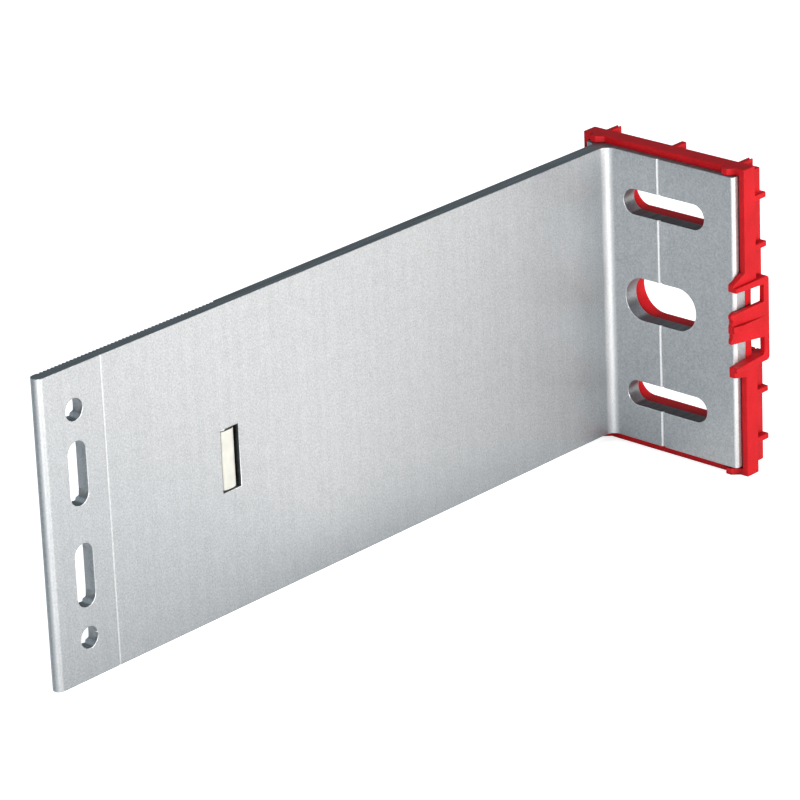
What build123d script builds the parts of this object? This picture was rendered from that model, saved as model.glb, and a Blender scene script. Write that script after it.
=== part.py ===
from build123d import *
import os

# Wall bracket for a ventilated cladding. All sizes are in millimetres.
# X runs along the wall, from the leg to the flange's far end. Y runs into the wall. Z is up.
# The origin is on the wall, behind the middle of the flange's middle anchor slot.

# Bracket: an aluminium angle, extruded along Z, cut to height and punched
height = 75.0
projection = 201.1
flange_width = 46.0
flange_thickness = 4.0
flange_shift = 0.2
flange_edge_radius = 1.0
toe = 2.7
toe_radius = 1.2
bend_radius = 2.5
leg_root_thickness = 3.8
leg_thickness = 3.45

# Serrated stretch at the leg's free end
serrated_length = 57.85
serrated_thickness = 3.25
tooth_pitch = 1.15
tooth_land = 0.15
tooth_depth = 0.42
nose_share = 0.48

# Marking grooves: one down the leg, one down the flange on the middle slot's axis
leg_mark_from_tip = 18.85
leg_mark_width = 0.6
leg_mark_depth = 0.3
flange_mark_width = 1.1
flange_mark_depth = 0.5

# Holes in the leg, in one column near its free end
fixing_from_tip = 10.15
screw_hole = 5.2
screw_hole_spacing = 54.8
screw_slot_length = 15.3
screw_slot_width = 5.5
screw_slot_spacing = 24.5

# Window in the leg, for the spring
window_from_tip = 57.4
window_width = 5.9
window_height = 15.4

# Anchor slots in the flange and the isolator
side_slot_length = 25.0
side_slot_width = 6.5
side_slot_spacing = 50.0
side_slot_x = 1.5
middle_slot_length = 22.0
middle_slot_width = 11.0

# Thermal isolator: a tray round the flange, with ribs towards the wall
standoff = 6.25
pocket_clearance = 0.25
pocket_play = 0.3
isolator_wall = 1.75
isolator_plate = 2.2
lip_setback = 1.95
rim_wall = 1.5
rib_wall = 1.45
rib_pitch = 20.5
slot_rib_offset = 6.25
side_opening_margin = 1.25
side_opening_end = 1.35
middle_opening_margin = 1.35
middle_opening_end = 2.6
collar_wall = 1.75
rib_notch_width = 0.5
rib_notch_depth = 1.0
rib_notch_height = 2.0

# Snap hooks on the isolator's top and bottom walls
hook_front_setback = 0.4
hook_flat = 1.65
hook_ramp = 1.7
hook_corner_radius = 0.7
left_hook_inset = 1.55
right_hook_inset = 3.95

# Finger latch at the flange's far end
latch_reach = 2.6
latch_half_height = 10.9
latch_proud = 0.85
latch_arm_root = 1.9
latch_arm_tip = 1.2
latch_bar = 2.0
latch_wall_gap = 0.25
latch_bar_wall = 1.45
latch_corner_radius = 1.0
latch_opening_radius = 0.5
gusset_rise = 2.5
gusset_flat_top = 0.7
gusset_flat_bottom = 1.4
tongue_root_half = 4.6
tongue_tip_half = 3.75
tongue_tip_drop = 1.55
tongue_nib = 0.6
tongue_nib_clearance = 0.1
tongue_nib_flat = 1.0
tongue_lead = 0.15
tongue_notch_radius = 1.1
tongue_notch_depth = 0.6
tongue_notch_spacing = 3.6
thumb_rib_half_height = 0.9
thumb_rib_ramp_length = 2.6
thumb_rib_ramp_drop = 0.75

# Holding spring: a steel strip folded through the window
spring_thickness = 0.6
spring_end_clearance = 0.5
spring_side_clearance = 0.05
spring_foot_length = 10.5
spring_foot_radius = 0.95
spring_crown_radius = 1.75
spring_turn_radius = 1.05
spring_arm_root_gap = 2.7
spring_arm_root_radius = 1.2
spring_arm_length = 20.0
spring_arm_gap = 1.6
spring_lip_length = 9.0
spring_lip_rise = 2.6
spring_lip_radius = 6.0

# Places that follow from the sizes
flange_rear = -standoff
flange_front = flange_rear - flange_thickness
flange_left = flange_shift - flange_width / 2
flange_right = flange_shift + flange_width / 2
leg_back_root = flange_left + toe
leg_front = leg_back_root + leg_root_thickness
tip_y = -projection
step_y = tip_y + serrated_length
peak_x = leg_front - serrated_thickness
fixing_y = tip_y + fixing_from_tip
window_y = tip_y + window_from_tip
side_slot_z = side_slot_spacing / 2
pocket_x = flange_width / 2 + pocket_clearance
pocket_z = height / 2 + pocket_play
outer_x = pocket_x + isolator_wall
outer_z = pocket_z + isolator_wall
plate_rear = flange_rear + isolator_plate
lip_y = flange_front + lip_setback
latch_face = outer_x + latch_proud
bar_x = latch_face - latch_bar_wall
latch_tip = flange_front - latch_reach
latch_gap = latch_half_height - latch_arm_root
latch_rear = -latch_wall_gap
bar_front = latch_rear - latch_bar
bar_middle = latch_rear - latch_bar / 2
tongue_tip = latch_tip - tongue_lead
through = 2 * (standoff + flange_thickness)
overshoot = 1.0


def block(x, y, z):
    """A box between two places along each axis."""
    size = [abs(b - a) for a, b in (x, y, z)]
    middle = [(a + b) / 2 for a, b in (x, y, z)]
    return Pos(*middle) * Box(*size)


def upright(points, radii, z):
    """An outline in X and Y, with its corners rounded, extruded between two heights."""
    outline = FilletPolyline(*points, radius=radii, close=True)
    return Pos(0, 0, z[0]) * extrude(make_face(outline), amount=z[1] - z[0])


def sideways(points, radii, x):
    """An outline in Y and Z, with its corners rounded, extruded between two places along X."""
    outline = FilletPolyline(*[(y, z) for y, z in points], radius=radii, close=True)
    return extrude(Plane.YZ.offset(x[0]) * make_face(outline), amount=x[1] - x[0])


def groove(a, b, depth):
    """The three points of a V groove between two points of an outline, cut to a depth."""
    middle = ((a[0] + b[0]) / 2 + depth[0], (a[1] + b[1]) / 2 + depth[1])
    return [a, middle, b]


def leg_back(y):
    """X of the plain back of the leg, which thins evenly from the bend to the serrations."""
    share = (flange_front - y) / (flange_front - step_y)
    return leg_front - leg_root_thickness + share * (leg_root_thickness - leg_thickness)


def tooth_points():
    """The serrated back of the leg, as outline points from the step to the nose."""
    count = int((serrated_length - serrated_thickness / 2) / tooth_pitch)
    points = []
    for i in range(count):
        y = step_y - i * tooth_pitch
        valley_y = y - (tooth_pitch + tooth_land) / 2
        points += [(peak_x, y), (peak_x, y - tooth_land), (peak_x + tooth_depth, valley_y)]
    return points + [(peak_x, step_y - count * tooth_pitch)]


def bracket_section():
    """The extruded section, with its grooves and serrations, as a face in X and Y."""
    nose_radius = nose_share * serrated_thickness
    leg_mark = tip_y + leg_mark_from_tip
    corners = [
        ((flange_right, flange_rear), 0),
        ((flange_left, flange_rear), 0),
        ((flange_left, flange_front), flange_edge_radius),
        ((leg_back_root, flange_front), toe_radius),
        ((leg_back(step_y), step_y), 0),
    ]
    corners += [(point, 0) for point in tooth_points()]
    corners += [((peak_x, tip_y), nose_radius), ((leg_front, tip_y), nose_radius)]
    start = (leg_front, leg_mark - leg_mark_width / 2)
    end = (leg_front, leg_mark + leg_mark_width / 2)
    corners += [(point, 0) for point in groove(start, end, (-leg_mark_depth, 0))]
    corners += [((leg_front, flange_front), bend_radius)]
    start = (-flange_mark_width / 2, flange_front)
    end = (flange_mark_width / 2, flange_front)
    corners += [(point, 0) for point in groove(start, end, (0, flange_mark_depth))]
    corners += [((flange_right, flange_front), flange_edge_radius)]
    points = [point for point, radius in corners]
    radii = [radius for point, radius in corners]
    return make_face(FilletPolyline(*points, radius=radii, close=True))


def slot_cutter(place, along, across, length, width):
    """A round-ended slot through a wall, with its length along one direction."""
    plane = Plane(origin=place, x_dir=along, z_dir=across)
    return extrude(plane * SlotOverall(length, width), amount=through / 2, both=True)


def slot_row(x, side_size, middle_size):
    """Two like slots through the flange's plane, and a middle one between them."""
    along, across = (1, 0, 0), (0, 1, 0)
    places = [(x, flange_rear, z) for z in (-side_slot_z, side_slot_z)]
    cutters = [slot_cutter(place, along, across, *side_size) for place in places]
    return cutters + [slot_cutter((0, flange_rear, 0), along, across, *middle_size)]


def anchor_slots():
    """Cutters for the flange's three anchor slots."""
    side_size = (side_slot_length, side_slot_width)
    return slot_row(side_slot_x, side_size, (middle_slot_length, middle_slot_width))


def isolator_openings(wall):
    """The isolator's openings behind the anchor slots, each grown all round by a wall."""
    side_size = (
        side_slot_length + 2 * (side_slot_x + side_opening_end + wall),
        side_slot_width + 2 * (side_opening_margin + wall),
    )
    middle_size = (
        middle_slot_length + 2 * (middle_opening_end + wall),
        middle_slot_width + 2 * (middle_opening_margin + wall),
    )
    return slot_row(0, side_size, middle_size)


def fixing_holes():
    """Cutters for the leg's column of two round holes and two upright slots."""
    cutters = []
    for side in (-1, 1):
        hole = Pos(leg_front, fixing_y, side * screw_hole_spacing / 2)
        cutters.append(hole * Rot(0, 90, 0) * Cylinder(screw_hole / 2, through))
        place = (leg_front, fixing_y, side * screw_slot_spacing / 2)
        slot = slot_cutter(place, (0, 0, 1), (1, 0, 0), screw_slot_length, screw_slot_width)
        cutters.append(slot)
    return cutters


def make_bracket():
    """The aluminium angle: the section over its height, then the punched holes."""
    body = extrude(bracket_section(), amount=height / 2, both=True)
    window = Pos(leg_front, window_y, 0) * Box(through, window_width, window_height)
    for cutter in anchor_slots() + fixing_holes() + [window]:
        body -= cutter
    return body


def make_tray():
    """The isolator's base plate and the low wall round the flange's edges."""
    tray = block((-outer_x, outer_x), (lip_y, plate_rear), (-outer_z, outer_z))
    pocket = (lip_y - overshoot, flange_rear)
    return tray - block((-pocket_x, pocket_x), pocket, (-pocket_z, pocket_z))


def make_ribs():
    """The rim and the ribs that stand on the wall, clear of the middle opening and the latch."""
    rim = block((-pocket_x, pocket_x), (plate_rear, 0), (-pocket_z, pocket_z))
    inner_x = pocket_x - rim_wall
    inner_z = pocket_z - rim_wall
    ribs = rim - block((-inner_x, inner_x), (plate_rear, 0), (-inner_z, inner_z))
    half = rib_wall / 2
    low_rib = side_slot_z - slot_rib_offset
    high_rib = side_slot_z + slot_rib_offset
    for z in (low_rib, high_rib, -low_rib, -high_rib):
        ribs += block((-outer_x, outer_x), (plate_rear, 0), (z - half, z + half))
    ribs += block((-rib_pitch - half, -rib_pitch + half), (plate_rear, 0), (-outer_z, outer_z))
    middle_half = middle_slot_width / 2 + middle_opening_margin
    for side in (-1, 1):
        spans = [
            (0, middle_half, low_rib),
            (0, high_rib, outer_z),
            (rib_pitch, latch_gap, outer_z),
        ]
        for x, near, far in spans:
            span = (side * near, side * far)
            ribs += block((x - half, x + half), (plate_rear, 0), span)
    return ribs - block((inner_x, pocket_x), (plate_rear, 0), (-latch_gap, latch_gap))


def make_collars():
    """The walls round the isolator's openings, from its plate to the wall's plane."""
    slab = block((-pocket_x, pocket_x), (plate_rear, 0), (-pocket_z, pocket_z))
    return [slab & opening for opening in isolator_openings(collar_wall)]


def rib_notches():
    """Cutters for the small notch in the rear of each outer rib's two ends."""
    half = rib_notch_width / 2
    cutters = []
    for x in (-rib_pitch, rib_pitch):
        for side in (-1, 1):
            ends = (side * (outer_z - rib_notch_height), side * (outer_z + overshoot))
            cutters.append(block((x - half, x + half), (-rib_notch_depth, overshoot), ends))
    return cutters


def make_hook(x):
    """One snap hook on the top wall: a step forward, a flat front and a ramp back."""
    front = flange_front + hook_front_setback
    points = [
        (x, lip_y + isolator_wall),
        (x, front),
        (x + hook_flat, front),
        (x + hook_flat + hook_ramp, lip_y),
        (x + hook_flat + hook_ramp, lip_y + isolator_wall),
    ]
    hook = upright(points, [0] * len(points), (pocket_z, outer_z))
    low_left = hook.edges().filter_by(Axis.Y).group_by(Axis.X)[0].sort_by(Axis.Z)[0]
    return fillet(low_left, hook_corner_radius)


def make_latch():
    """The arms and the rear bar of the finger latch, and the gussets beside them."""
    top = latch_half_height
    end = top - latch_arm_tip
    points = [(latch_tip, top), (latch_rear, top), (latch_rear, -top), (latch_tip, -top)]
    points += [(latch_tip, -end), (bar_front, -latch_gap), (bar_front, latch_gap)]
    points += [(latch_tip, end)]
    rounding = [0, latch_corner_radius, latch_corner_radius, 0]
    rounding += [0, latch_opening_radius, latch_opening_radius, 0]
    latch = sideways(points, rounding, (bar_x, latch_face))
    high = top + gusset_rise
    for side, flat in ((1, gusset_flat_top), (-1, gusset_flat_bottom)):
        arm = [(latch_rear, side * top), (latch_tip, side * top), (latch_tip, side * end)]
        arm += [(bar_front, side * latch_gap), (latch_rear, side * latch_gap)]
        latch += sideways(arm, [latch_corner_radius, 0, 0, 0, 0], (pocket_x, bar_x))
        web = [(plate_rear, side * top), (plate_rear, side * high), (lip_y, side * high)]
        web += [(latch_tip, side * (top + flat)), (latch_tip, side * top)]
        latch += sideways(web, [0] * len(web), (pocket_x, outer_x))
    return latch


def tongue_section():
    """The tongue's outline in X and Y: it narrows from the bar to a nib over the flange."""
    tip_face = latch_face - tongue_tip_drop
    nib_rear = flange_front - tongue_nib_clearance
    nib_x = pocket_x - tongue_nib
    return [
        (bar_x, bar_middle),
        (latch_face, bar_middle),
        (latch_face, bar_front),
        (tip_face, tongue_tip),
        (pocket_x, tongue_tip),
        (nib_x, nib_rear - tongue_nib_flat),
        (nib_x, nib_rear),
        (pocket_x, nib_rear),
        (bar_x, bar_front),
    ]


def make_tongue():
    """The latch's tongue, with a waved tip and a raised thumb rib flush with the bar."""
    root, end = tongue_root_half, tongue_tip_half
    points = tongue_section()
    tongue = upright(points, [0] * len(points), (-root, root))
    front = [(latch_rear, root), (bar_front, root), (tongue_tip, end)]
    sides = front + [(y, -z) for y, z in reversed(front)]
    tongue = tongue & sideways(sides, [0] * len(sides), (0, latch_face))
    notch_y = tongue_tip + tongue_notch_depth - tongue_notch_radius
    for side in (-1, 1):
        notch = Pos(pocket_x, notch_y, side * tongue_notch_spacing / 2)
        tongue -= notch * Rot(0, 90, 0) * Cylinder(tongue_notch_radius, through)
    points = [
        (pocket_x, bar_front),
        (latch_face, bar_front),
        (latch_face, latch_tip + thumb_rib_ramp_length),
        (latch_face - thumb_rib_ramp_drop, latch_tip),
        (pocket_x, latch_tip),
    ]
    half = thumb_rib_half_height
    return tongue + upright(points, [0] * len(points), (-half, half))


def make_isolator():
    """The red moulding, hung on the flange's top edge, its openings in line with the slots."""
    body = make_tray() + make_ribs()
    top = latch_half_height
    past = outer_x + overshoot
    body -= block((pocket_x, past), (lip_y - overshoot, overshoot), (-top, top))
    for x in (left_hook_inset - pocket_x, pocket_x - right_hook_inset):
        hook = make_hook(x)
        body += [hook, mirror(hook, about=Plane.XY)]
    body += [make_latch(), make_tongue()]
    for cutter in rib_notches():
        body -= cutter
    body = Pos(0, 0, -pocket_play) * body + make_collars()
    for cutter in isolator_openings(0):
        body -= cutter
    return body


def make_spring():
    """The leaf: a foot on the leg's back, a fold through the window, and a sprung arm."""
    half = spring_thickness / 2
    window_left = window_y - window_width / 2
    window_right = window_y + window_width / 2
    foot_end = window_right + spring_foot_length
    foot_x = leg_back(foot_end) - half
    crown_x = leg_front - half
    foot_turn = window_right - spring_foot_radius
    arm_turn = window_left + spring_side_clearance + half
    arm_end = arm_turn - spring_arm_length
    arm_x = peak_x - spring_arm_gap - half
    points = [
        (foot_x, foot_end),
        (foot_x, foot_turn),
        (crown_x, foot_turn),
        (crown_x, arm_turn),
        (peak_x - spring_arm_root_gap - half, arm_turn),
        (arm_x, arm_end),
        (arm_x - spring_lip_rise, arm_end - spring_lip_length),
    ]
    radii = [
        spring_foot_radius,
        spring_crown_radius,
        spring_turn_radius,
        spring_arm_root_radius,
        spring_lip_radius,
    ]
    strip = trace(FilletPolyline(*points, radius=radii), line_width=spring_thickness)
    width = window_height - 2 * spring_end_clearance
    return extrude(strip, amount=width / 2, both=True)


parts = {
    "bracket": make_bracket(),
    "thermal_isolator": make_isolator(),
    "holding_spring": make_spring(),
}
os.makedirs("parts", exist_ok=True)
for name, part in parts.items():
    export_step(part, f"parts/{name}.step")
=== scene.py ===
# %% [markdown]
# A cladding bracket, from CAD solids to a lit picture
#
# The object is an angle of extruded aluminium that carries a facade. A red plastic isolator is
# clipped on the flange that goes to the wall, and a small cream spring sits in a window of the
# long leg. The CAD solids give the exact shapes. This lesson adds what CAD leaves out: edges
# that are never perfectly sharp, the finish of each material, light and a camera.

# %% Tools and the fixed frame
import math

import bmesh
import bpy
from mathutils import Matrix, Vector


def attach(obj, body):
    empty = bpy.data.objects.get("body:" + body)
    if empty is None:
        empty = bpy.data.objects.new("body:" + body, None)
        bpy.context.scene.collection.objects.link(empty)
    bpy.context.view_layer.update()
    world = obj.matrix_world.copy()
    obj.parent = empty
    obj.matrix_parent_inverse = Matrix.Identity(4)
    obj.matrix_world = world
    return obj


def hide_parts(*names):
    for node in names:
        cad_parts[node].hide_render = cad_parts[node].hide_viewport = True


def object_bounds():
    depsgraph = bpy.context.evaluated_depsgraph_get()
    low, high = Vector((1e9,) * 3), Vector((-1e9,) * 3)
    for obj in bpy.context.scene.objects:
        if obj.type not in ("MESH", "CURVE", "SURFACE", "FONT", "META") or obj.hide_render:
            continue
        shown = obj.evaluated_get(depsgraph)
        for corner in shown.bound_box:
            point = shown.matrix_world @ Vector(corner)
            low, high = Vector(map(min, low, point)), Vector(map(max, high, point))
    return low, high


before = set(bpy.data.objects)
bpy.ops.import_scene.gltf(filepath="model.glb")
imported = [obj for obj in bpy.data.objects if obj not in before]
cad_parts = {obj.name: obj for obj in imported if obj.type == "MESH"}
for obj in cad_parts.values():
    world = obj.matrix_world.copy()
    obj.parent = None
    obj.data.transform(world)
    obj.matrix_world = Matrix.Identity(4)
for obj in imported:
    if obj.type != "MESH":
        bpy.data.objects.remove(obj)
cad_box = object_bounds()
object_middle = (cad_box[0] + cad_box[1]) / 2
MILLIMETRE = 0.001
print("nodes:", sorted(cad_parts))
print("CAD box in mm:", [[round(c / MILLIMETRE, 2) for c in corner] for corner in cad_box])

# %% [markdown]
# Shader node groups
#
# A group is a small node tree with its own named sockets, which `interface.new_socket` adds.
# An effect that several materials share could be copied into each of them. As a group it is
# built once, and each material gives it its own numbers.

# %% A helper that opens a group with named sockets
FLOAT = "NodeSocketFloat"
VECTOR = "NodeSocketVector"


def open_group(name, inputs, outputs):
    """A new shader node group, with its input and output sockets ready to be linked."""
    group = bpy.data.node_groups.new(name, "ShaderNodeTree")
    for socket, kind, start in inputs:
        made = group.interface.new_socket(socket, in_out="INPUT", socket_type=kind)
        if start is not None:
            made.default_value = start
    for socket, kind in outputs:
        group.interface.new_socket(socket, in_out="OUTPUT", socket_type=kind)
    entry = group.nodes.new("NodeGroupInput")
    leave = group.nodes.new("NodeGroupOutput")
    return group, entry.outputs, leave.inputs


# %% [markdown]
# Three kinds of node come back in every tree: a noise, a range that is stretched to another
# range, and a bit of arithmetic. A helper for each keeps the trees below short. Noise mostly
# stays near its middle, so its middle part is stretched to the whole range from 0 to 1.

# %% Helpers for the nodes that every tree uses
NOISE_MIDDLE = (0.3, 0.7)


def noise(tree, position, scale, detail=2.0, roughness=0.5):
    """Noise texture over a position. Its scale is the number of features per metre."""
    texture = tree.nodes.new("ShaderNodeTexNoise")
    texture.inputs["Detail"].default_value = detail
    texture.inputs["Roughness"].default_value = roughness
    tree.links.new(position, texture.inputs["Vector"])
    if isinstance(scale, bpy.types.NodeSocket):
        tree.links.new(scale, texture.inputs["Scale"])
    else:
        texture.inputs["Scale"].default_value = scale
    return texture.outputs["Fac"]


def spread(tree, value, source=(0.0, 1.0), target=(0.0, 1.0)):
    """A value whose source range is stretched to the target range, and held inside it."""
    stretch = tree.nodes.new("ShaderNodeMapRange")
    stretch.inputs["From Min"].default_value = source[0]
    stretch.inputs["From Max"].default_value = source[1]
    stretch.inputs["To Min"].default_value = target[0]
    stretch.inputs["To Max"].default_value = target[1]
    tree.links.new(value, stretch.inputs["Value"])
    return stretch.outputs["Result"]


def calculate(tree, operation, first, second=0.0):
    """A Math node. Each side is a socket or a number."""
    maths = tree.nodes.new("ShaderNodeMath")
    maths.operation = operation
    for side, value in zip(maths.inputs, (first, second)):
        if isinstance(value, bpy.types.NodeSocket):
            tree.links.new(value, side)
        else:
            side.default_value = value
    return maths.outputs["Value"]


def weighted_sum(tree, *parts):
    """The sum of some values, each of them times its share."""
    total = None
    for value, share in parts:
        scaled = calculate(tree, "MULTIPLY", value, share)
        total = scaled if total is None else calculate(tree, "ADD", total, scaled)
    return total


# %% [markdown]
# Extruded, moulded and coated surfaces all have a fine grain and a broader mottle, only at
# other sizes. The first group makes both from noise, which has no seams and needs no picture.

# %% The surface grain group
def make_grain_group():
    """Fine grain and broad mottle, each from 0 to 1 with its middle at 0.5."""
    group, given, result = open_group(
        "Surface grain",
        [("Position", VECTOR, None), ("Grain per metre", FLOAT, 1400.0),
         ("Mottle per metre", FLOAT, 250.0)],
        [("Grain", FLOAT), ("Mottle", FLOAT)],
    )
    fine = noise(group, given["Position"], given["Grain per metre"], detail=3.0, roughness=0.6)
    broad = noise(group, given["Position"], given["Mottle per metre"])
    group.links.new(spread(group, fine, NOISE_MIDDLE), result["Grain"])
    group.links.new(spread(group, broad, NOISE_MIDDLE), result["Mottle"])
    return group


grain_group = make_grain_group()
print("group:", grain_group.name, "with", len(grain_group.nodes), "nodes")

# %% [markdown]
# Handling and the tumbling of parts in a box rub the edges of a thing first. The Bevel node
# gives the normal that a rounder edge would have. Where that differs from the true normal
# there is an edge, and the difference is a mask of it.

# %% The rubbed edge group
EDGE_SAMPLES = 6


def make_edge_group():
    """A mask that is 1 on the object's edges and 0 on its flat faces."""
    group, given, result = open_group(
        "Rubbed edges",
        [("Sharpness", FLOAT, 3.0), ("Radius", FLOAT, 0.4 * MILLIMETRE)],
        [("Edge", FLOAT)],
    )
    rounded = group.nodes.new("ShaderNodeBevel")
    rounded.samples = EDGE_SAMPLES
    group.links.new(given["Radius"], rounded.inputs["Radius"])
    true_normal = group.nodes.new("ShaderNodeNewGeometry").outputs["Normal"]
    alike = group.nodes.new("ShaderNodeVectorMath")
    alike.operation = "DOT_PRODUCT"
    group.links.new(rounded.outputs["Normal"], alike.inputs[0])
    group.links.new(true_normal, alike.inputs[1])
    apart = calculate(group, "SUBTRACT", 1.0, alike.outputs["Value"])
    strong = calculate(group, "MULTIPLY", apart, given["Sharpness"])
    group.links.new(spread(group, strong), result["Edge"])
    return group


edge_group = make_edge_group()
print("group:", edge_group.name, "with", len(edge_group.nodes), "nodes")

# %% [markdown]
# Little light comes out of the narrow gaps between pieces and out of inner corners. This group
# paints that shade into the colour. The Ambient Occlusion node finds such places over a short
# reach. Its value is 1 in the open, so the group turns it round: from Open down to Deep the
# mask of painted shade rises from 0 to 1.

# %% The painted crevice shade group
CREVICE_SAMPLES = 8


def make_painted_crevice_shade_group():
    """A mask of painted shade, which is 1 deep in a gap or an inner corner and 0 on open faces."""
    group, given, result = open_group(
        "Painted crevice shade",
        [("Reach", FLOAT, 4.0 * MILLIMETRE), ("Deep", FLOAT, 0.25), ("Open", FLOAT, 0.8)],
        [("Painted shade", FLOAT)],
    )
    openness = group.nodes.new("ShaderNodeAmbientOcclusion")
    openness.samples = CREVICE_SAMPLES
    group.links.new(given["Reach"], openness.inputs["Distance"])
    stretch = group.nodes.new("ShaderNodeMapRange")
    group.links.new(openness.outputs["AO"], stretch.inputs["Value"])
    group.links.new(given["Deep"], stretch.inputs["From Min"])
    group.links.new(given["Open"], stretch.inputs["From Max"])
    stretch.inputs["To Min"].default_value = 1.0
    stretch.inputs["To Max"].default_value = 0.0
    group.links.new(stretch.outputs["Result"], result["Painted shade"])
    return group


painted_crevice_shade_group = make_painted_crevice_shade_group()
print("group:", painted_crevice_shade_group.name, "with", len(painted_crevice_shade_group.nodes), "nodes")

# %% [markdown]
# Materials
#
# A material starts as a Principled BSDF. What is the same all over goes on its own sockets.
# What changes over the surface comes from nodes that read the object's own coordinates, so
# the pattern stays on the piece from every side.
#
# One thing to know before these colours are used elsewhere: the lamps of this scene are
# stronger than a plain level. The red comes out nearly twice as light as it is written here,
# the metal of the leg about a third lighter, and the cream a quarter lighter. Under weaker
# lamps all three have to be written paler.

# %% Helpers that start a material and place groups in it
def start_material(name):
    """A new material: its node tree, its Principled BSDF and its object coordinates."""
    material = bpy.data.materials.new(name)
    material.use_nodes = True
    tree = material.node_tree
    surface = tree.nodes["Principled BSDF"]
    places = tree.nodes.new("ShaderNodeTexCoord")
    return material, tree, surface, places.outputs["Object"]


def place_group(tree, group, **values):
    """A group placed in a material, with its own numbers."""
    placed = tree.nodes.new("ShaderNodeGroup")
    placed.node_tree = group
    for socket, value in values.items():
        placed.inputs[socket.replace("_", " ")].default_value = value
    return placed


def place_grain(tree, position, grain_per_metre, mottle_per_metre):
    """The surface grain over a position: its grain and its mottle."""
    placed = place_group(tree, grain_group, Grain_per_metre=grain_per_metre,
                         Mottle_per_metre=mottle_per_metre)
    tree.links.new(position, placed.inputs["Position"])
    return placed.outputs["Grain"], placed.outputs["Mottle"]


# %% [markdown]
# A Mix node has sockets for numbers, vectors and colours side by side, some of them with the
# same name. The colour sockets are picked by their place in the list.

# %% Helpers for colour and bumps
MIX_FIRST_COLOUR = 6
MIX_SECOND_COLOUR = 7
MIX_COLOUR_RESULT = 2


def blend_colours(tree, share, first, second):
    """The first colour where the share is 0, and the second where it is 1."""
    mixer = tree.nodes.new("ShaderNodeMix")
    mixer.data_type = "RGBA"
    tree.links.new(share, mixer.inputs["Factor"])
    for side, colour in ((MIX_FIRST_COLOUR, first), (MIX_SECOND_COLOUR, second)):
        if isinstance(colour, bpy.types.NodeSocket):
            tree.links.new(colour, mixer.inputs[side])
        else:
            mixer.inputs[side].default_value = (*colour, 1.0)
    return mixer.outputs[MIX_COLOUR_RESULT]


def paint_skin_and_shade(tree, surface, skin, painted_shade_colour, **values):
    """The skin as the base colour, with the painted shade colour in gaps and inner corners."""
    painted_crevice_shade = place_group(tree, painted_crevice_shade_group, **values)
    painted = blend_colours(tree, painted_crevice_shade.outputs["Painted shade"], skin, painted_shade_colour)
    tree.links.new(painted, surface.inputs["Base Color"])


def raise_bumps(tree, surface, height, depth):
    """A Bump node: the height from 0 to 1 stands for a depth in metres."""
    bump = tree.nodes.new("ShaderNodeBump")
    bump.inputs["Distance"].default_value = depth
    tree.links.new(height, bump.inputs["Height"])
    tree.links.new(bump.outputs["Normal"], surface.inputs["Normal"])


# %% [markdown]
# Mill aluminium
#
# Extruded aluminium that nobody has polished is bright but blurred. Its skin has a fine grain
# with faint lines along the die, here along Z. The saw that cuts the bar to length leaves the
# two ends duller and scratched across. A mask of the faces that look along Z tells them apart.
# Their dark colour is partly that duller metal and partly painted shade on the faces that look
# up and down.
# The bends and the long edges turn from X to Y. There the product of the two parts of the
# normal is large, and a painted highlight makes the metal brighter.
#
# Both kinds of line are noise that is drawn out: few features per metre along the line, and
# many across it. The bumps stay very low, because high ones widen the highlights.

# %% The values of mill aluminium
ALUMINIUM_DARK = (0.335, 0.35, 0.36)
ALUMINIUM_PALE = (0.575, 0.595, 0.61)
PAINTED_HIGHLIGHT_DARK = (0.52, 0.525, 0.53)
PAINTED_HIGHLIGHT_PALE = (0.68, 0.685, 0.69)
METAL_PAINTED_SHADE = (0.05, 0.075, 0.075)
SAWN_AND_SHADED_DARK = (0.16, 0.175, 0.18)
SAWN_AND_SHADED_PALE = (0.24, 0.26, 0.27)
DIE_LINES_PER_METRE = (700.0, 700.0, 9.0)
SAW_LINES_PER_METRE = (1300.0, 60.0, 60.0)
FACES_ALONG_Z = (0.9, 0.97)
TURNING_FROM_X_TO_Y = (0.08, 0.28)
METAL_TONE = {"grain": 0.8, "lines": 0.1, "mottle": 0.1}
METAL_HEIGHT = {"grain": 0.9, "lines": 0.1, "saw": 1.5}
METAL_ROUGHNESS = (0.41, 0.49)
SAWN_ROUGHER = 0.1
METAL_BUMPS = 0.005 * MILLIMETRE


# %% Mill aluminium
def drawn_lines(tree, position, features_per_metre):
    """Noise drawn out into lines, from 0 to 1."""
    mapping = tree.nodes.new("ShaderNodeMapping")
    mapping.inputs["Scale"].default_value = features_per_metre
    tree.links.new(position, mapping.inputs["Vector"])
    return spread(tree, noise(tree, mapping.outputs["Vector"], 1.0, detail=3.0), NOISE_MIDDLE)


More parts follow.
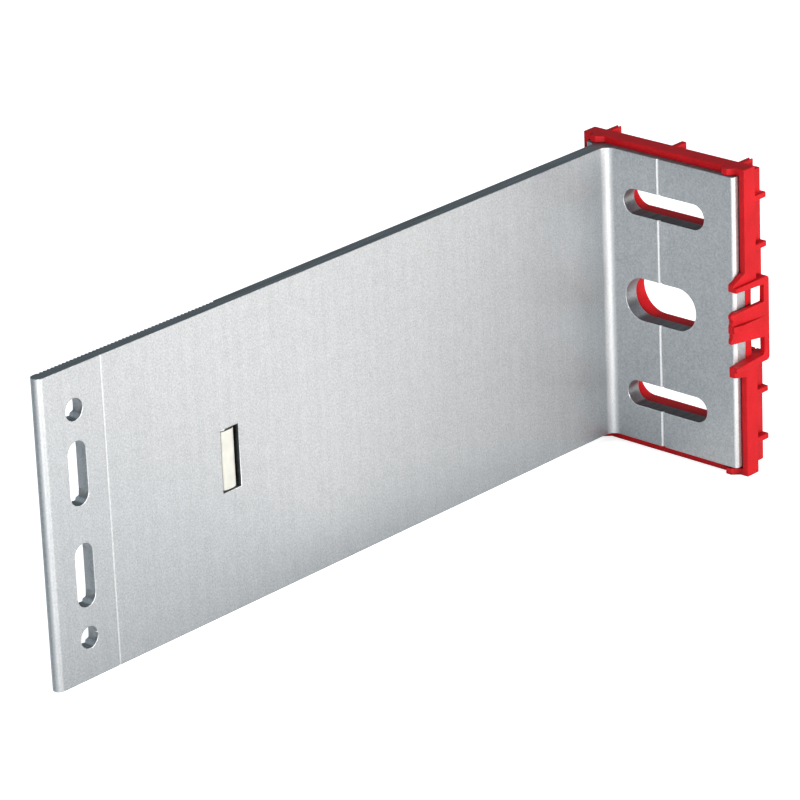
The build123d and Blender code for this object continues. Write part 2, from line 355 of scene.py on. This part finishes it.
def make_mill_aluminium():
    material, tree, surface, position = start_material("mill_aluminium_finish")
    surface.inputs["Metallic"].default_value = 1.0
    grain, mottle = place_grain(tree, position, grain_per_metre=2400.0,
                                mottle_per_metre=300.0)
    die_lines = drawn_lines(tree, position, DIE_LINES_PER_METRE)
    saw_lines = drawn_lines(tree, position, SAW_LINES_PER_METRE)

    facing = tree.nodes.new("ShaderNodeSeparateXYZ")
    tree.links.new(tree.nodes["Texture Coordinate"].outputs["Normal"], facing.inputs["Vector"])
    sawn_and_shaded_end = spread(tree, calculate(tree, "ABSOLUTE", facing.outputs["Z"]), FACES_ALONG_Z)
    # Painted highlight: faces whose normal turns from X to Y are made brighter in colour.
    turning = calculate(tree, "MULTIPLY", facing.outputs["X"], facing.outputs["Y"])
    painted_highlight_on_bends = spread(tree, calculate(tree, "ABSOLUTE", turning), TURNING_FROM_X_TO_Y)

    tone = weighted_sum(tree, (grain, METAL_TONE["grain"]), (die_lines, METAL_TONE["lines"]),
                        (mottle, METAL_TONE["mottle"]))
    skin = blend_colours(tree, tone, ALUMINIUM_DARK, ALUMINIUM_PALE)
    skin = blend_colours(tree, painted_highlight_on_bends, skin, blend_colours(tree, tone, PAINTED_HIGHLIGHT_DARK, PAINTED_HIGHLIGHT_PALE))
    # The faces along Z: partly duller sawn metal, partly painted shade.
    sawn_and_shaded_colour = blend_colours(tree, saw_lines, SAWN_AND_SHADED_DARK, SAWN_AND_SHADED_PALE)
    skin = blend_colours(tree, sawn_and_shaded_end, skin, sawn_and_shaded_colour)
    # Painted shade: the metal's gaps and inner corners are darkened in its colour.
    paint_skin_and_shade(tree, surface, skin, METAL_PAINTED_SHADE, Reach=3.0 * MILLIMETRE, Open=0.55)

    smooth_skin = spread(tree, grain, target=METAL_ROUGHNESS)
    rough_end = calculate(tree, "MULTIPLY", sawn_and_shaded_end, SAWN_ROUGHER)
    tree.links.new(calculate(tree, "ADD", smooth_skin, rough_end), surface.inputs["Roughness"])

    height = weighted_sum(tree, (grain, METAL_HEIGHT["grain"]), (die_lines, METAL_HEIGHT["lines"]),
                          (saw_lines, calculate(tree, "MULTIPLY", sawn_and_shaded_end, METAL_HEIGHT["saw"])))
    raise_bumps(tree, surface, height, METAL_BUMPS)
    return material


mill_aluminium = make_mill_aluminium()
print("material:", mill_aluminium.name, "with", len(mill_aluminium.node_tree.nodes), "nodes")

# %% [markdown]
# Red plastic
#
# The isolator is moulded in a filled plastic. Such a plastic is satin: its skin copies the
# spark-eroded steel of the mould, which gives it a fine even texture and a soft sheen. It is
# full of pigment and lets no light through, so a plain surface does, without scattering
# inside it. Its edges are a little paler, where handling has rubbed them.

# %% The values of red plastic
PLASTIC_DEEP = (0.32, 0.002, 0.004)
PLASTIC_BRIGHT = (0.52, 0.006, 0.011)
PLASTIC_PAINTED_SHADE = (0.07, 0.0, 0.0)
PLASTIC_RUBBED = (0.58, 0.025, 0.03)
PLASTIC_TONE = {"grain": 0.6, "mottle": 0.4}
PLASTIC_WEAR = 0.5
PLASTIC_SHEEN = 0.18
PLASTIC_ROUGHNESS = (0.46, 0.58)
PLASTIC_BUMPS = 0.015 * MILLIMETRE


# %% Red plastic
def make_red_plastic():
    material, tree, surface, position = start_material("red_plastic_finish")
    surface.inputs["Specular IOR Level"].default_value = PLASTIC_SHEEN
    grain, mottle = place_grain(tree, position, grain_per_metre=2600.0,
                                mottle_per_metre=180.0)
    edges = place_group(tree, edge_group, Sharpness=1.6, Radius=0.3 * MILLIMETRE)
    tone = weighted_sum(tree, (grain, PLASTIC_TONE["grain"]), (mottle, PLASTIC_TONE["mottle"]))
    colour = blend_colours(tree, tone, PLASTIC_DEEP, PLASTIC_BRIGHT)
    rubbed = calculate(tree, "MULTIPLY", edges.outputs["Edge"], PLASTIC_WEAR)
    skin = blend_colours(tree, rubbed, colour, PLASTIC_RUBBED)
    # Painted shade: the plastic's gaps and inner corners are darkened in its colour.
    paint_skin_and_shade(tree, surface, skin, PLASTIC_PAINTED_SHADE, Reach=3.0 * MILLIMETRE, Open=0.65)
    tree.links.new(spread(tree, grain, target=PLASTIC_ROUGHNESS), surface.inputs["Roughness"])
    raise_bumps(tree, surface, grain, PLASTIC_BUMPS)
    return material


red_plastic = make_red_plastic()
print("material:", red_plastic.name, "with", len(red_plastic.node_tree.nodes), "nodes")

# %% [markdown]
# Cream coating
#
# The holding spring is steel strip under a pale coating. Dipping leaves the coating smooth,
# a little uneven in thickness, and thinner on the edges, where the grey steel shows through.
# The mask of the edges is multiplied by the grain, so that the wear comes in patches and
# isn't an even line.

# %% The values of cream coating
CREAM = (0.51, 0.51, 0.46)
CREAM_SHADE = (0.45, 0.445, 0.4)
STEEL_SHOWING = (0.3, 0.29, 0.26)
COATING_PAINTED_SHADE = (0.05, 0.05, 0.045)
COATING_WEAR = 0.6
COATING_SHEEN = 0.4
COATING_ROUGHNESS = (0.34, 0.46)
COATING_BUMPS = 0.004 * MILLIMETRE


# %% Cream coating
def make_cream_coating():
    material, tree, surface, position = start_material("cream_coating_finish")
    surface.inputs["Specular IOR Level"].default_value = COATING_SHEEN
    grain, mottle = place_grain(tree, position, grain_per_metre=1100.0,
                                mottle_per_metre=320.0)
    edges = place_group(tree, edge_group, Sharpness=1.5, Radius=0.15 * MILLIMETRE)
    colour = blend_colours(tree, mottle, CREAM_SHADE, CREAM)
    patches = calculate(tree, "MULTIPLY", edges.outputs["Edge"], grain)
    worn = calculate(tree, "MULTIPLY", patches, COATING_WEAR)
    skin = blend_colours(tree, worn, colour, STEEL_SHOWING)
    # Painted shade: the coating's gaps and inner corners are darkened in its colour.
    paint_skin_and_shade(tree, surface, skin, COATING_PAINTED_SHADE, Reach=2.5 * MILLIMETRE, Deep=0.3, Open=0.75)
    tree.links.new(spread(tree, mottle, target=COATING_ROUGHNESS), surface.inputs["Roughness"])
    raise_bumps(tree, surface, grain, COATING_BUMPS)
    return material


cream_coating = make_cream_coating()
print("material:", cream_coating.name, "with", len(cream_coating.node_tree.nodes), "nodes")

# %% [markdown]
# Pieces with real edges
#
# A CAD solid is a bag of triangles with razor edges, and a razor edge catches no light. Real
# edges are rounded: 0.2 mm on this moulding, less on the metal. The Bevel modifier rounds
# them, but it needs flat faces instead of triangles, and it must not ask for more than a
# narrow rib has room for. So the triangles are merged first, and an outer edge is rounded
# only where both faces beside it are wide enough. Inner corners stay as they are.

# %% Merging the triangles
WELD = 0.001 * MILLIMETRE
FLAT_ANGLE = math.radians(0.3)


def merged_mesh(node):
    """The CAD node's shape as a bmesh, with flat faces in place of its triangles."""
    shape = bmesh.new()
    shape.from_mesh(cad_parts[node].data)
    bmesh.ops.remove_doubles(shape, verts=shape.verts, dist=WELD)
    bmesh.ops.dissolve_limit(shape, angle_limit=FLAT_ANGLE, verts=shape.verts, edges=shape.edges)
    return shape


# %% [markdown]
# The room beside an edge is measured in each of its two faces, straight across from points
# near its ends and at its middle. A face with a corner sharper than 30 degrees at the edge
# counts as no room at all, because a bevel that runs into such a sliver would fold over.

# %% How much room an edge has
SLIVER = math.radians(30.0)
PROBES = (0.05, 0.5, 0.95)


def room_across(edge):
    """The least width of the faces beside an edge, measured straight across from it."""
    room = math.inf
    for loop in edge.link_loops:
        if min(loop.calc_angle(), loop.link_loop_next.calc_angle()) < SLIVER:
            return 0.0
        start = loop.vert.co
        end = loop.link_loop_next.vert.co
        along = (end - start).normalized()
        inward = loop.face.normal.cross(along)
        touching = {loop.link_loop_prev.edge, edge, loop.link_loop_next.edge}
        for other in set(loop.face.edges) - touching:
            first, last = (corner.co for corner in other.verts)
            for share in PROBES:
                point = start.lerp(end, share)
                before = (first - point).dot(along)
                after = (last - point).dot(along)
                if (before < 0) != (after < 0):
                    crossing = first.lerp(last, before / (before - after))
                    depth = (crossing - point).dot(inward)
                    if depth > 0:
                        room = min(room, depth)
    return room


# %% [markdown]
# An edge is marked when it points outwards, when its faces turn by more than 30 degrees but
# don't meet like a knife, and when it has room. The room is a little more than two radii,
# because the far edge of the same face may need its own radius.

# %% Marking the edges that are rounded
SHARP_ANGLE = math.radians(30.0)
KNIFE_ANGLE = math.radians(140.0)
LEAST_ROOM_IN_RADII = 2.2


def mark_outer_edges(shape, radius, keeps_sharp):
    """Puts a bevel weight on the outer edges that have room, and returns their number."""
    weights = shape.edges.layers.float.new("bevel_weight_edge")
    marked = 0
    for edge in shape.edges:
        bend = edge.calc_face_angle(0.0)
        if not edge.is_convex or not SHARP_ANGLE < bend < KNIFE_ANGLE:
            continue
        if keeps_sharp and any(keeps_sharp(corner.co) for corner in edge.verts):
            continue
        if room_across(edge) >= LEAST_ROOM_IN_RADII * radius:
            edge[weights] = 1.0
            marked += 1
    return marked


# %% [markdown]
# The rounding is worked into the mesh, so that the sharp marks can be set on the new edges.
# The Weighted Normal modifier then shades by the large faces: they look flat, and the shading
# turns only over the narrow rounded strips.

# %% Rounding a piece
SMOOTH_ANGLE = math.radians(35.0)


def round_edges(piece, radius, segments):
    """The Bevel modifier on the marked edges, worked into the piece's mesh."""
    rounding = piece.modifiers.new("Rounded edges", "BEVEL")
    rounding.limit_method = "WEIGHT"
    rounding.width = radius
    rounding.segments = segments
    rounding.use_clamp_overlap = False
    evaluated = piece.evaluated_get(bpy.context.evaluated_depsgraph_get())
    piece.data = bpy.data.meshes.new_from_object(evaluated)
    piece.modifiers.clear()


def make_piece(name, node, material, radius, segments, keeps_sharp=None):
    """A copy of a CAD node with rounded edges and its finish, which stands for the node."""
    shape = merged_mesh(node)
    rounded = mark_outer_edges(shape, radius, keeps_sharp)
    mesh = bpy.data.meshes.new(name)
    shape.to_mesh(mesh)
    shape.free()
    mesh.shade_smooth()
    piece = bpy.data.objects.new(name, mesh)
    bpy.context.scene.collection.objects.link(piece)
    round_edges(piece, radius, segments)
    piece.data.set_sharp_from_angle(angle=SMOOTH_ANGLE)
    shading = piece.modifiers.new("Flat faces stay flat", "WEIGHTED_NORMAL")
    shading.keep_sharp = True
    piece.data.materials.append(material)
    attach(piece, "root")
    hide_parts(node)
    print(name, "has", rounded, "rounded edges and", len(piece.data.polygons), "faces")


# %% [markdown]
# The three pieces are one rigid body. The teeth on the back of the leg bite into a profile,
# so they keep their sharp crests.

# %% The three pieces
TEETH_IN_FRONT_OF = -143.0 * MILLIMETRE
TEETH_BEHIND = -16.8 * MILLIMETRE


def among_the_teeth(point):
    """Whether a point is in the toothed part of the leg's back."""
    return point.x < TEETH_BEHIND and point.y < TEETH_IN_FRONT_OF


make_piece("aluminium_angle", "bracket", mill_aluminium,
           radius=0.15 * MILLIMETRE, segments=2, keeps_sharp=among_the_teeth)
make_piece("isolator_clip", "thermal_isolator", red_plastic,
           radius=0.2 * MILLIMETRE, segments=3)
make_piece("spring_tongue", "holding_spring", cream_coating,
           radius=0.08 * MILLIMETRE, segments=2)

# %% [markdown]
# A white table
#
# The picture is a studio shot on white. The floor is a large white plane at the level of the
# object's lowest point. For the camera it also glows, so that it comes out white while the
# object still lays a soft shadow on it.

# %% The floor
floor_level = cad_box[0].z
FLOOR_REACH = 8.0


def make_floor():
    mesh = bpy.data.meshes.new("floor")
    corners = [Vector((x, y, floor_level)) for x, y in
               ((-FLOOR_REACH, -FLOOR_REACH), (FLOOR_REACH, -FLOOR_REACH),
                (FLOOR_REACH, FLOOR_REACH), (-FLOOR_REACH, FLOOR_REACH))]
    mesh.from_pydata(corners, [], [(0, 1, 2, 3)])
    floor = bpy.data.objects.new("floor", mesh)
    bpy.context.scene.collection.objects.link(floor)
    return floor


floor = make_floor()
print("floor at z", round(floor_level / MILLIMETRE, 2), "mm")

# %% [markdown]
# A real white table is a little darker close to what stands on it, because the object hides
# part of the room from it. The Ambient Occlusion node measures just that. The camera sees
# little of this shade, and the metal sees it in full.
#
# Metal shows its surroundings more than its own colour. Here it sees a table that glows by
# direction, warm and brighter on the right and dim on the left. The stops go round the object
# in degrees: 0 is beyond the leg's free end, and 90 is on the right, where the leg's face
# looks. They were tried out until the bends and the flange shaded as on the photograph. One
# even white table for every kind of ray is simpler, and shows the white background in the
# metal as well. It suits an object that is seen from all sides better.

# %% The values of the floor
WHITE = (1.0, 1.0, 1.0)
WARM = (1.0, 0.93, 0.88)
FLOOR_WHITE = (0.8, 0.8, 0.8)
FLOOR_LEFT = (0.55, 0.58, 0.6)
LEFT_BLEND = math.radians(25.0)
GLOW_FOR_CAMERA = 0.85
GLOW_FOR_METAL = 4.0
SHADE_REACH = 45.0 * MILLIMETRE
SHADE_FOR_CAMERA = 0.25
HALF_TURN = 180.0
GLOW_STOPS = (
    (-HALF_TURN, 0.03, WHITE),
    (-50.0, 0.03, WHITE),
    (40.0, 0.05, WHITE),
    (75.0, 0.12, WHITE),
    (100.0, 0.08, WARM),
    (118.0, 0.22, WARM),
    (142.0, 0.22, WARM),
    (152.0, 0.06, WARM),
    (HALF_TURN, 0.06, WARM),
)


# %% Directions round the object
def direction_round(tree, position):
    """The direction of a point of the floor from the object, as an angle from -pi to pi."""
    places = tree.nodes.new("ShaderNodeSeparateXYZ")
    tree.links.new(position, places.inputs["Vector"])
    ahead = calculate(tree, "SUBTRACT", object_middle.y, places.outputs["Y"])
    return calculate(tree, "ARCTAN2", places.outputs["X"], ahead)


def glow_round(tree, angle):
    """The glow's colour at a point of the floor, by its direction from the object."""
    ramp = tree.nodes.new("ShaderNodeValToRGB")
    stops = ramp.color_ramp.elements
    stops_at_hand = len(stops)
    for index, (azimuth, strength, tint) in enumerate(GLOW_STOPS):
        place = (azimuth + HALF_TURN) / (2 * HALF_TURN)
        stop = stops[index] if index < stops_at_hand else stops.new(place)
        stop.position = place
        stop.color = (*(strength * part for part in tint), 1.0)
    tree.links.new(spread(tree, angle, (-math.pi, math.pi)), ramp.inputs["Fac"])
    return ramp.outputs["Color"]


# %% The floor's material
def make_floor_white():
    material, tree, surface, position = start_material("floor_white")
    surface.inputs["Roughness"].default_value = 1.0
    surface.inputs["Specular IOR Level"].default_value = 0.0
    openness = tree.nodes.new("ShaderNodeAmbientOcclusion")
    openness.inputs["Distance"].default_value = SHADE_REACH
    rays = tree.nodes.new("ShaderNodeLightPath").outputs
    reflected = calculate(tree, "MAXIMUM", rays["Is Glossy Ray"], rays["Is Transmission Ray"])

    angle = direction_round(tree, position)
    on_left = spread(tree, angle, (-LEFT_BLEND, LEFT_BLEND), (1.0, 0.0))
    dark_part = calculate(tree, "MULTIPLY", reflected, on_left)
    tree.links.new(blend_colours(tree, dark_part, FLOOR_WHITE, FLOOR_LEFT),
                   surface.inputs["Base Color"])

    glow_colour = blend_colours(tree, reflected, WHITE, glow_round(tree, angle))
    tree.links.new(glow_colour, surface.inputs["Emission Color"])
    shaded_glow = (GLOW_FOR_CAMERA * (1 - SHADE_FOR_CAMERA), GLOW_FOR_CAMERA)
    for_camera = calculate(tree, "MULTIPLY", rays["Is Camera Ray"],
                           spread(tree, openness.outputs["AO"], target=shaded_glow))
    for_metal = calculate(tree, "MULTIPLY", reflected,
                          spread(tree, openness.outputs["AO"], target=(0.0, GLOW_FOR_METAL)))
    tree.links.new(calculate(tree, "ADD", for_camera, for_metal),
                   surface.inputs["Emission Strength"])
    return material


floor.data.materials.append(make_floor_white())
print("glow in the metal:", [round(GLOW_FOR_METAL * stop[1], 2) for stop in GLOW_STOPS])

# %% [markdown]
# The room
#
# The world lights the object from all round. This room is dim and bluish at the height of the
# walls and brighter overhead, which fills the shadows softly. A wall of lamps could do the
# same with more noise. Only a ray straight from the camera sees white, for the background.
# Is Glossy Ray and Is Transmission Ray, joined to Is Camera Ray here, would show that white
# in the metal too.

# %% The world
WALL_LIGHT = 0.08
CEILING_LIGHT = 0.55
CEILING_BEGINS = (0.35, 0.6)
ROOM_TINT = (0.85, 1.0, 1.1)


def make_world():
    """A dim bluish room, which fills the shadows. A ray straight from the camera sees white."""
    world = bpy.data.worlds.new("studio")
    world.use_nodes = True
    tree = world.node_tree
    background = tree.nodes["Background"]
    at_camera = tree.nodes.new("ShaderNodeLightPath").outputs["Is Camera Ray"]
    direction = tree.nodes.new("ShaderNodeTexCoord").outputs["Generated"]
    parts = tree.nodes.new("ShaderNodeSeparateXYZ")
    tree.links.new(direction, parts.inputs["Vector"])
    room = spread(tree, parts.outputs["Z"], CEILING_BEGINS, (WALL_LIGHT, CEILING_LIGHT))
    tree.links.new(calculate(tree, "MAXIMUM", at_camera, room), background.inputs["Strength"])
    tree.links.new(blend_colours(tree, at_camera, ROOM_TINT, WHITE), background.inputs["Color"])
    bpy.context.scene.world = world
    return world


studio = make_world()
print("world:", studio.name)

# %% [markdown]
# The lamps
#
# Two round cards of light stand low beside the table, as in a product studio. The first is
# close to the camera's own direction and lights both faces of the inner corner. The second is
# on the right, a little behind the flange. It lights the leg nearly square on, and leaves the
# flange to the light that the leg throws back. Large cards give the bends broad highlights.
# They are stronger than a plain level, which is why the colours above are written dark.

# %% The lamps
LAMP_WIDTH = 0.5
LAMP_DISTANCE = 1.4
LAMPS = {
    "front_card": {"azimuth": 42.0, "elevation": 12.0, "power": 17.5, "colour": WHITE},
    "side_card": {"azimuth": 103.0, "elevation": 12.0, "power": 18.5, "colour": WARM},
}


def direction_from(azimuth, elevation):
    """The direction from the object to a lamp, in degrees. Azimuth 0 is on the -Y side."""
    turn = math.radians(azimuth)
    lift = math.radians(elevation)
    return Vector((math.sin(turn) * math.cos(lift),
                   -math.cos(turn) * math.cos(lift),
                   math.sin(lift)))


def make_lamp(name, azimuth, elevation, power, colour):
    light = bpy.data.lights.new(name, "AREA")
    light.shape = "DISK"
    light.size = LAMP_WIDTH
    light.energy = power
    light.color = colour
    lamp = bpy.data.objects.new(name, light)
    back = direction_from(azimuth, elevation)
    lamp.location = object_middle + back * LAMP_DISTANCE
    lamp.rotation_euler = back.to_track_quat("Z", "Y").to_euler()
    bpy.context.scene.collection.objects.link(lamp)
    print(name, "at", [round(c, 2) for c in lamp.location])


for name, settings in LAMPS.items():
    make_lamp(name, **settings)

# %% [markdown]
# The camera
#
# A product shot uses a long lens from far away, so that parallel edges stay nearly parallel.
# The camera looks down a little on the inner corner of the angle and is turned slightly about
# its own line of sight. Its matrix is built in that order: turn round the object, tilt, roll,
# and then step back along the line of sight. The values come from a fit to the photograph.

# %% The camera
CAMERA_AZIMUTH = math.radians(43.2888)
CAMERA_ELEVATION = math.radians(21.9432)
CAMERA_ROLL = math.radians(-2.4353)
CAMERA_DISTANCE = 1.20021
CAMERA_AIM = Vector((-0.048136, -0.053124, -0.022781))
CAMERA_LENS = 219.763
CAMERA_SENSOR = 36.0


def make_camera():
    data = bpy.data.cameras.new("camera")
    data.lens = CAMERA_LENS
    data.sensor_width = CAMERA_SENSOR
    camera = bpy.data.objects.new("camera", data)
    bpy.context.scene.collection.objects.link(camera)
    turn = Matrix.Rotation(CAMERA_AZIMUTH, 4, "Z")
    tilt = Matrix.Rotation(math.pi / 2 - CAMERA_ELEVATION, 4, "X")
    roll = Matrix.Rotation(CAMERA_ROLL, 4, "Z")
    step_back = Matrix.Translation((0.0, 0.0, CAMERA_DISTANCE))
    camera.matrix_world = Matrix.Translation(CAMERA_AIM) @ turn @ tilt @ roll @ step_back
    bpy.context.scene.camera = camera
    return camera


camera = make_camera()
print("camera at", [round(c, 3) for c in camera.matrix_world.translation])

# %% [markdown]
# The end
#
# The Standard view shows each colour as it is.

bpy.context.scene.view_settings.view_transform = "Standard"
